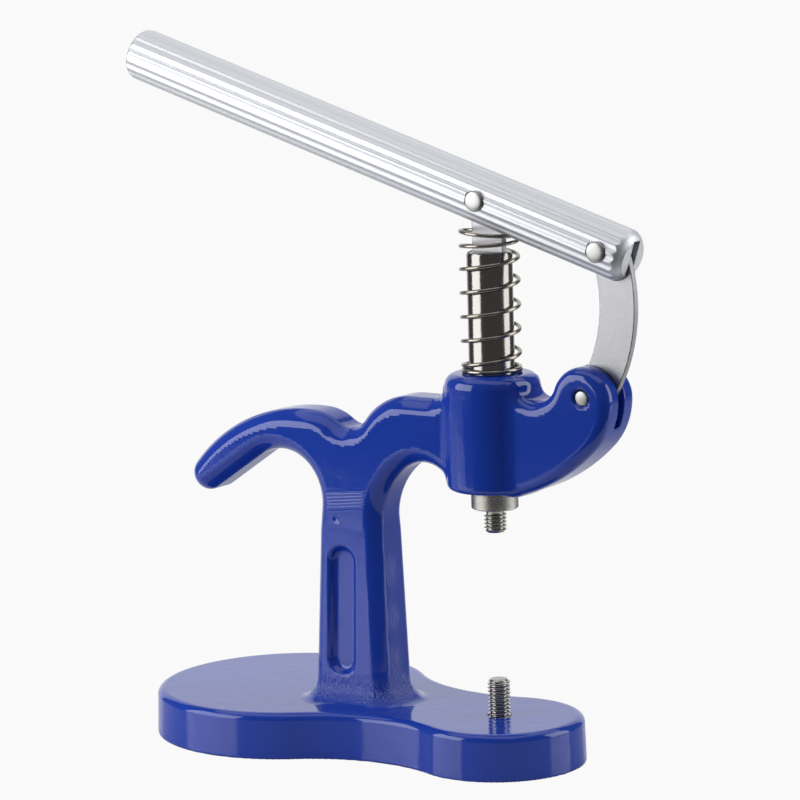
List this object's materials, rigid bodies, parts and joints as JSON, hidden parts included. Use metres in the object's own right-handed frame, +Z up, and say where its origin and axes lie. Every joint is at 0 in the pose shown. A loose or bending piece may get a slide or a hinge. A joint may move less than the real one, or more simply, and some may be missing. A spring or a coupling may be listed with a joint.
{
  "type": "watch case press",
  "caption": "Bench press with a cast frame, a guided ram, a hand lever on a curved link and threaded studs for case-closing dies.",
  "frame": {"origin": "on the underside of the base, straight below the ram's axis", "axes": "+Z up along the ram; -X towards the handle; +X towards the fork and the link; +Y across the press"},
  "size_m": [0.1586, 0.0749, 0.191],
  "materials": {
    "blue_enamel": "gloss stoved enamel on cast metal",
    "bright_steel": "zinc plated thread",
    "nickel_plate": "bright nickel",
    "tumbled_steel": "tumbled, dull",
    "spring_wire": "bright nickel plated wire",
    "extruded_aluminium": "bright extruded flutes",
    "pin_steel": "peened steel"
  },
  "bodies": {
    "frame": {"frame_casting": "blue_enamel", "lower_die_stud": "bright_steel", "fork_pin": "pin_steel", "return_spring": "spring_wire"},
    "ram": {"ram": "nickel_plate", "ram_tongue": "tumbled_steel", "upper_die_stud": "nickel_plate"},
    "lever": {"hand_lever": "extruded_aluminium", "ram_pin": "pin_steel", "link_pin": "pin_steel"},
    "link": {"link_plate": "tumbled_steel"}
  },
  "joints": [
    {"name": "ram_slide", "type": "slide", "parent": "frame", "child": "ram", "axis": [0, 0, -1], "range_m": [0, 0.01977], "stiffness_N_per_m": 420, "springref_m": -0.012, "deforming": ["return_spring"]},
    {"name": "lever_hinge", "type": "hinge", "parent": "ram", "child": "lever", "pos_m": [0, 0, 0.14942], "axis": [0, -1, 0], "range_deg": [0, 30]},
    {"name": "link_swing", "type": "hinge", "parent": "frame", "child": "link", "pos_m": [0.0314, 0, 0.1003], "axis": [0, 1, 0], "range_deg": [0, 1.31]}
  ],
  "couplings": [
    {"joint": "lever_hinge", "follows": "ram_slide", "rad_per_m": 26.485},
    {"joint": "link_swing", "follows": "ram_slide", "rad_per_m": 1.1533}
  ]
}
